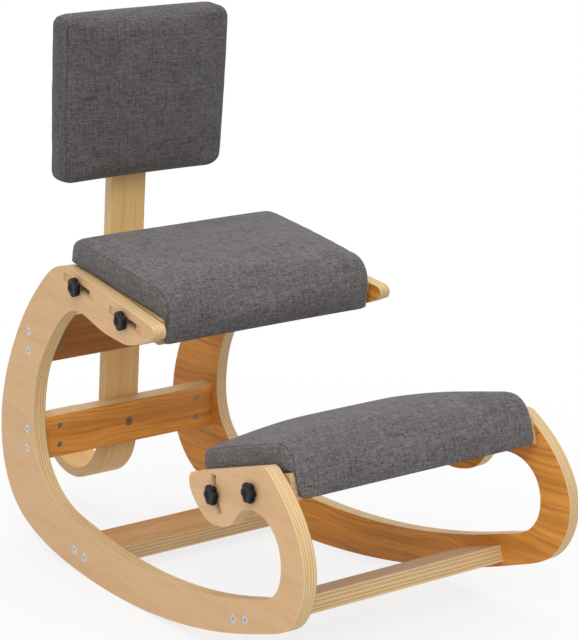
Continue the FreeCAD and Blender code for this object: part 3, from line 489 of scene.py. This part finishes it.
def weave(name, shade):
    """Plain weave of slubbed threads, with a sewn line where the top panel meets the end panels.

    The cushion's mesh carries the lengths along both panels, and seam, which is 0 at the sewn line and
    positive on the end panels. A shade below 1 darkens the whole cloth as painted shade.
    """
    shader = Shader(name)
    seam = shader.attribute("seam", "Fac")
    panel = shader.node("ShaderNodeMix", data_type="VECTOR")
    shader.put(panel.inputs["Factor"], shader.math("GREATER_THAN", seam, 0.0))
    shader.put(panel.inputs[4], shader.attribute("panel", "Vector"))
    shader.put(panel.inputs[5], shader.attribute("end_panel", "Vector"))
    across, length, _ = shader.parts(panel.outputs[1])

    def threads(run, beside, seed):
        """Light and dark slubs on the threads that run one way, their roundness, and each thread's number."""
        counted = shader.times(beside, 1 / THREAD)
        lane = shader.math("FLOOR", counted)
        short = shader.drawn_out(run, 130.0, lane, 1.37, seed, rough=0.6)
        long = shader.drawn_out(run, 28.0, lane, 0.83, seed + 2.0, 1.0)
        slub = shader.plus(shader.times(short, 0.65), shader.times(long, 0.35))
        return slub, shader.math("SINE", shader.times(shader.math("FRACT", counted), math.pi)), lane

    warp, warp_round, column = threads(length, across, 3.1)
    weft, weft_round, row = threads(across, length, 7.7)
    odd = shader.math("MODULO", shader.size(shader.plus(column, row)), 2.0)
    over = shader.math("LESS_THAN", shader.size(odd), 0.5)
    under = shader.minus(1.0, over)
    seen = shader.plus(shader.times(over, warp), shader.times(under, weft))
    both = shader.times(shader.plus(warp, weft), 0.5)
    tone = shader.plus(shader.times(seen, 0.45), shader.times(both, 0.55))
    broad = shader.drawn_out(across, 9.0, length, 26.0, 0.0)
    tone = shader.plus(tone, shader.times(shader.minus(broad, 0.5), 0.06))
    dark, light = (tuple(part * shade for part in colour) for colour in (FABRIC_DARK, FABRIC_LIGHT))
    colour = shader.mix(shader.band(tone, 0.35, 0.65), dark, light)
    from_seam = shader.size(seam)
    sewn = shader.band(from_seam, 0.0002, 0.0012, 1.0, 0.0)
    colour = shader.mix(shader.times(sewn, 0.7), colour, SEAM_TONE)
    height = shader.plus(shader.times(over, warp_round), shader.times(under, weft_round))
    groove = shader.band(from_seam, 0.0, 0.0022, -3.0, 0.0)
    shader.bump(shader.plus(height, groove), 0.45, 0.0004)
    shader.put(shader.surface.inputs["Sheen Weight"], 0.10)
    shader.put(shader.surface.inputs["Sheen Roughness"], 0.5)
    return shader.finish(colour, 0.9, 0.2)


WEAVE = weave("grey_melange", 1.0)
# The backrest's cloth: the same weave darkened to 0.78 as painted shade, since the backrest takes less light
# than the seat.
BACK_WEAVE_PAINTED_SHADE = weave("grey_melange_back", 0.78)


def moved_by(matrix, points):
    matrix = np.array(matrix)
    return points @ matrix[:3, :3].T + matrix[:3, 3]


VOXEL = 0.005
CLOTH_FRAMES = 20
FOOT_BAND = 0.002  # points this near the lowest edge are held
SEAM_BAND = 0.003  # half the width of the held line along a seam
SEAM_REACH = 0.010  # and how far in from the cushion's end it goes


class Form:
    """The side view of a cushion and its widths, in its own frame: X across, Y along and Z square to it."""

    ROUND_STEPS = 8
    FRONT_SQUASH = 0.75  # the front round's height as a share of its length

    def __init__(self, home, lead, depth, foot, top, half_front, half_rear, front_round, rear_round):
        self.home = home
        self.inverse = home.inverted()
        self.lead, self.depth = lead, depth
        self.half_front, self.half_rear = half_front, half_rear
        front, rear = -lead, depth - lead
        turns = [math.pi / 2 * step / self.ROUND_STEPS for step in range(1, self.ROUND_STEPS)]
        outline = [(rear, -foot), (rear, top - rear_round)]
        outline += [(rear - rear_round * (1 - math.cos(turn)), top - rear_round * (1 - math.sin(turn)))
                    for turn in turns]
        outline += [(rear - rear_round, top), (front + front_round, top)]
        drop = front_round * self.FRONT_SQUASH
        outline += [(front + front_round * (1 - math.sin(turn)), top - drop * (1 - math.cos(turn)))
                    for turn in turns]
        outline += [(front, top - drop), (front, -foot)]
        self.outline = np.array(outline)

    def local(self, points):
        return moved_by(self.inverse, points)

    def world(self, points):
        return moved_by(self.home, points)

    def half(self, along):
        return self.half_front + (self.half_rear - self.half_front) * (along + self.lead) / self.depth

    def measure(self, places):
        """How deep each place lies inside the side view, the length along it, and the depth from the end."""
        flat = places[:, 1:3]
        best = np.full(len(flat), np.inf)
        run = np.zeros(len(flat))
        inside = np.zeros(len(flat))
        travelled = 0.0
        for start, stop in zip(self.outline, self.outline[1:]):
            way = stop - start
            length = float(np.hypot(*way))
            share = np.clip(((flat - start) @ way) / length ** 2, 0, 1)
            near = start + share[:, None] * way
            gap = np.hypot(*(flat - near).T)
            side = (way[0] * (flat[:, 1] - start[1]) - way[1] * (flat[:, 0] - start[0])) / length
            closer = gap < best
            best = np.where(closer, gap, best)
            run = np.where(closer, travelled + share * length, run)
            inside = np.where(closer, np.sign(side), inside)
            travelled += length
        return best * inside, run, self.half(places[:, 1]) - np.abs(places[:, 0])


def read(mesh):
    """The mesh's points as rows."""
    points = np.empty(len(mesh.vertices) * 3)
    mesh.vertices.foreach_get("co", points)
    return points.reshape(-1, 3)


def write(mesh, points):
    mesh.vertices.foreach_set("co", points.ravel())
    mesh.update()


def remeshed(node, voxel):
    """A fresh even mesh of a CAD solid's shape."""
    mesh = NODES[node].data.copy()
    mesh.materials.clear()
    piece = bpy.data.objects.new(node + "_cover", mesh)
    bpy.context.collection.objects.link(piece)
    grid = piece.modifiers.new("even", "REMESH")
    grid.mode = "VOXEL"
    grid.voxel_size = voxel
    return baked(piece)


def baked(piece):
    """Applies the piece's modifiers."""
    bpy.context.view_layer.update()
    graph = bpy.context.evaluated_depsgraph_get()
    mesh = bpy.data.meshes.new_from_object(piece.evaluated_get(graph))
    piece.modifiers.clear()
    piece.data = mesh
    return piece


def smoothed(mesh, points, rounds, free):
    """Evens out voxel steps: free points move to their neighbours' middle and back, so nothing shrinks."""
    edges = np.empty(len(mesh.edges) * 2, dtype=np.int64)
    mesh.edges.foreach_get("vertices", edges)
    edges = edges.reshape(-1, 2)
    count = np.bincount(edges.ravel(), minlength=len(points))[:, None]
    for share in [0.6, -0.62] * rounds:
        total = np.zeros_like(points)
        np.add.at(total, edges[:, 0], points[edges[:, 1]])
        np.add.at(total, edges[:, 1], points[edges[:, 0]])
        points = points + (total / count - points) * share * free[:, None]
    return points


def inflate(piece, form, pinned, cap):
    """Cloth under pressure, held at the pinned points. cap is the most that a point may move on each axis."""
    start = form.local(read(piece.data))
    group = piece.vertex_groups.new(name="held")
    group.add([int(i) for i in np.nonzero(pinned)[0]], 1.0, "REPLACE")
    cloth = piece.modifiers.new("cloth", "CLOTH")
    settings = cloth.settings
    settings.quality = 5
    settings.mass = 0.3
    settings.tension_stiffness = settings.compression_stiffness = 15
    settings.shear_stiffness = 10
    settings.bending_stiffness = 2
    settings.use_pressure = True
    settings.uniform_pressure_force = 16
    settings.effector_weights.gravity = 0
    settings.vertex_group_mass = "held"
    cloth.point_cache.frame_start = 1
    cloth.point_cache.frame_end = CLOTH_FRAMES
    scene = bpy.context.scene
    for number in range(1, CLOTH_FRAMES + 1):
        scene.frame_set(number)
    baked(piece)
    scene.frame_set(1)
    moved = np.clip(form.local(read(piece.data)) - start, -np.array(cap), np.array(cap))
    write(piece.data, form.world(start + moved))
    piece.vertex_groups.clear()


def cushion(node, body, form, base_high, skirt, cap, cloth):
    """Covers a CAD cushion with cloth that is held under the base and along the seams.

    base_high is the height of the base's top in the form's frame, and skirt how far the sides stand out
    round the base.
    """
    piece = remeshed(node, VOXEL)
    start = read(piece.data)
    places = form.local(start)
    depth, _, from_end = form.measure(places)
    reach = skirt * 0.6
    within = (places[:, 1] > -form.lead + reach) & (places[:, 1] < form.depth - form.lead - reach)
    under = (places[:, 2] < base_high) & (within | (depth > reach))
    under |= places[:, 2] < form.outline[:, 1].min() + FOOT_BAND
    seam = (np.abs(depth - from_end) < SEAM_BAND) & (from_end < SEAM_REACH)
    write(piece.data, smoothed(piece.data, start, 2, (~under).astype(float)))
    inflate(piece, form, under | seam, cap)
    finer = piece.modifiers.new("finer", "SUBSURF")
    finer.levels = finer.render_levels = 1
    baked(piece)
    places = form.local(read(piece.data))
    depth, run, from_end = form.measure(places)
    mesh = piece.data
    mesh.materials.clear()
    mesh.materials.append(cloth)
    for polygon in mesh.polygons:
        polygon.use_smooth = True
    end = np.sign(places[:, 0])
    # The offsets keep the lengths positive, and give the end panels threads of their own.
    for name, values in (("panel", np.column_stack((places[:, 0] + 0.3, run + 0.2, 0 * run))),
                         ("end_panel", np.column_stack((places[:, 1] + 1.3, places[:, 2] + 0.4, end)))):
        attribute = mesh.attributes.new(name, "FLOAT_VECTOR", "POINT")
        attribute.data.foreach_set("vector", values.astype(np.float32).ravel())
    attribute = mesh.attributes.new("seam", "FLOAT", "POINT")
    attribute.data.foreach_set("value", (depth - from_end).astype(np.float32))
    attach(piece, body)
    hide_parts(node)


def side_place(along, height, degrees):
    """A pad's own frame, from its place in a side frame's plane."""
    return (Matrix.Translation((0, along * math.cos(TOE) + ALONG, height))
            @ Matrix.Rotation(math.radians(degrees), 4, "X"))


# Lengths as the source of the CAD model has them
seat_form = Form(side_place(0.033, 0.432, 9.5), lead=0.070, depth=0.259, foot=0.020, top=0.061,
                 half_front=0.1895, half_rear=0.187, front_round=0.038, rear_round=0.018)
knee_form = Form(side_place(-0.311, 0.263, -16.4), lead=0.072, depth=0.239, foot=0.020, top=0.064,
                 half_front=0.220, half_rear=0.2035, front_round=0.038, rear_round=0.018)
back_up = Matrix.Translation(POST_FOOT) @ Matrix.Rotation(LEAN, 4, "X") @ Matrix.Translation((0, 0, 0.412))
back_form = Form(back_up @ Matrix.Rotation(math.pi / 2, 4, "X"), lead=0.0, depth=0.257, foot=0.0, top=0.046,
                 half_front=0.149, half_rear=0.1535, front_round=0.014, rear_round=0.014)

cushion("seat_cushion", "seat", seat_form, base_high=0.0205, skirt=0.008, cap=(0.004, 0.004, 0.006),
        cloth=WEAVE)
cushion("knee_cushion", "knee_pad", knee_form, base_high=0.0205, skirt=0.008, cap=(0.0015, 0.004, 0.006),
        cloth=WEAVE)
# The backrest wears the weave darkened as painted shade.
cushion("backrest_cushion", "frame", back_form, base_high=0.013, skirt=0.016, cap=(0.005, 0.005, 0.005),
        cloth=BACK_WEAVE_PAINTED_SHADE)


# Floor, light and camera

def backdrop_rays(tree):
    """1 for the rays that meet the bright backdrop: straight ones, and those off gloss or through glass."""
    path = tree.nodes.new("ShaderNodeLightPath")
    share = path.outputs["Is Camera Ray"]
    for kind in ("Is Glossy Ray", "Is Transmission Ray"):
        either = tree.nodes.new("ShaderNodeMath")
        either.operation = "MAXIMUM"
        tree.links.new(share, either.inputs[0])
        tree.links.new(path.outputs[kind], either.inputs[1])
        share = either.outputs[0]
    return share


def floor():
    """A matt pale floor, blended into the bright backdrop: least near the chair, where the shadow lies."""
    bpy.ops.mesh.primitive_plane_add(size=60, location=(0, 0, 0))
    piece = bpy.context.object
    piece.name = "floor"
    shader = Shader("pale_floor")
    place = shader.place()
    cloud = shader.noise(place, 3.0)
    colour = shader.mix(cloud, (0.70, 0.70, 0.70), (0.73, 0.73, 0.73))
    material = shader.finish(colour, 0.9, 0.1)
    reach = shader.node("ShaderNodeVectorMath", operation="LENGTH")
    shader.put(reach.inputs[0], place)
    glow = shader.node("ShaderNodeEmission")
    shader.put(glow.inputs["Strength"], 1.0)
    far = shader.band(reach.outputs["Value"], 0.2, 1.3, 0.80, 1.0)
    blend = shader.node("ShaderNodeMixShader")
    shader.put(blend.inputs[0], shader.times(backdrop_rays(shader.tree), far))
    shader.put(blend.inputs[1], shader.surface.outputs[0])
    shader.put(blend.inputs[2], glow.outputs[0])
    shader.put(shader.tree.nodes["Material Output"].inputs["Surface"], blend.outputs[0])
    piece.data.materials.append(material)


def light(name, place, target, size, power):
    lamp = bpy.data.lights.new(name, "AREA")
    lamp.shape = "RECTANGLE"
    lamp.size, lamp.size_y = size
    lamp.energy = power
    piece = bpy.data.objects.new(name, lamp)
    bpy.context.collection.objects.link(piece)
    piece.location = place
    piece.rotation_euler = (Vector(target) - Vector(place)).to_track_quat("-Z", "Y").to_euler()


def surroundings():
    """A plain soft world that lights the chair, and pure white behind it."""
    world = bpy.data.worlds.new("studio")
    bpy.context.scene.world = world
    world.use_nodes = True
    tree = world.node_tree
    seen = tree.nodes["Background"]
    seen.inputs["Color"].default_value = (1, 1, 1, 1)
    seen.inputs["Strength"].default_value = 1.0
    lit = tree.nodes.new("ShaderNodeBackground")
    lit.inputs["Color"].default_value = (1.0, 0.99, 0.975, 1)
    lit.inputs["Strength"].default_value = 0.72
    choose = tree.nodes.new("ShaderNodeMixShader")
    tree.links.new(backdrop_rays(tree), choose.inputs["Fac"])
    tree.links.new(lit.outputs[0], choose.inputs[1])
    tree.links.new(seen.outputs[0], choose.inputs[2])
    tree.links.new(choose.outputs[0], tree.nodes["World Output"].inputs["Surface"])


SENSOR = 36.0
FOCAL_PIXELS = 2558
PHOTO_HEIGHT = 640
CAMERA_PLACE = (-2.2379, -2.9385 + ALONG, 1.3025)


def camera():
    """The photograph's viewpoint, as solved from the chair's own parallel lines."""
    azimuth, elevation = math.radians(-38.07), math.radians(13.63)
    lens = bpy.data.cameras.new("camera")
    lens.lens = SENSOR * FOCAL_PIXELS / PHOTO_HEIGHT
    lens.sensor_width = SENSOR
    lens.clip_end = 60
    piece = bpy.data.objects.new("camera", lens)
    bpy.context.collection.objects.link(piece)
    piece.location = CAMERA_PLACE
    piece.rotation_euler = (math.pi / 2 - elevation, 0, azimuth)
    bpy.context.scene.camera = piece


floor()
surroundings()
light("key", place=(-2.2, -2.4, 2.8), target=(0, 0, 0.35), size=(2.4, 2.0), power=75)
light("overhead", place=(0.4, 0.2, 3.2), target=(0, 0, 0.3), size=(2.6, 2.6), power=40)
camera()
bpy.context.scene.view_settings.view_transform = "Standard"
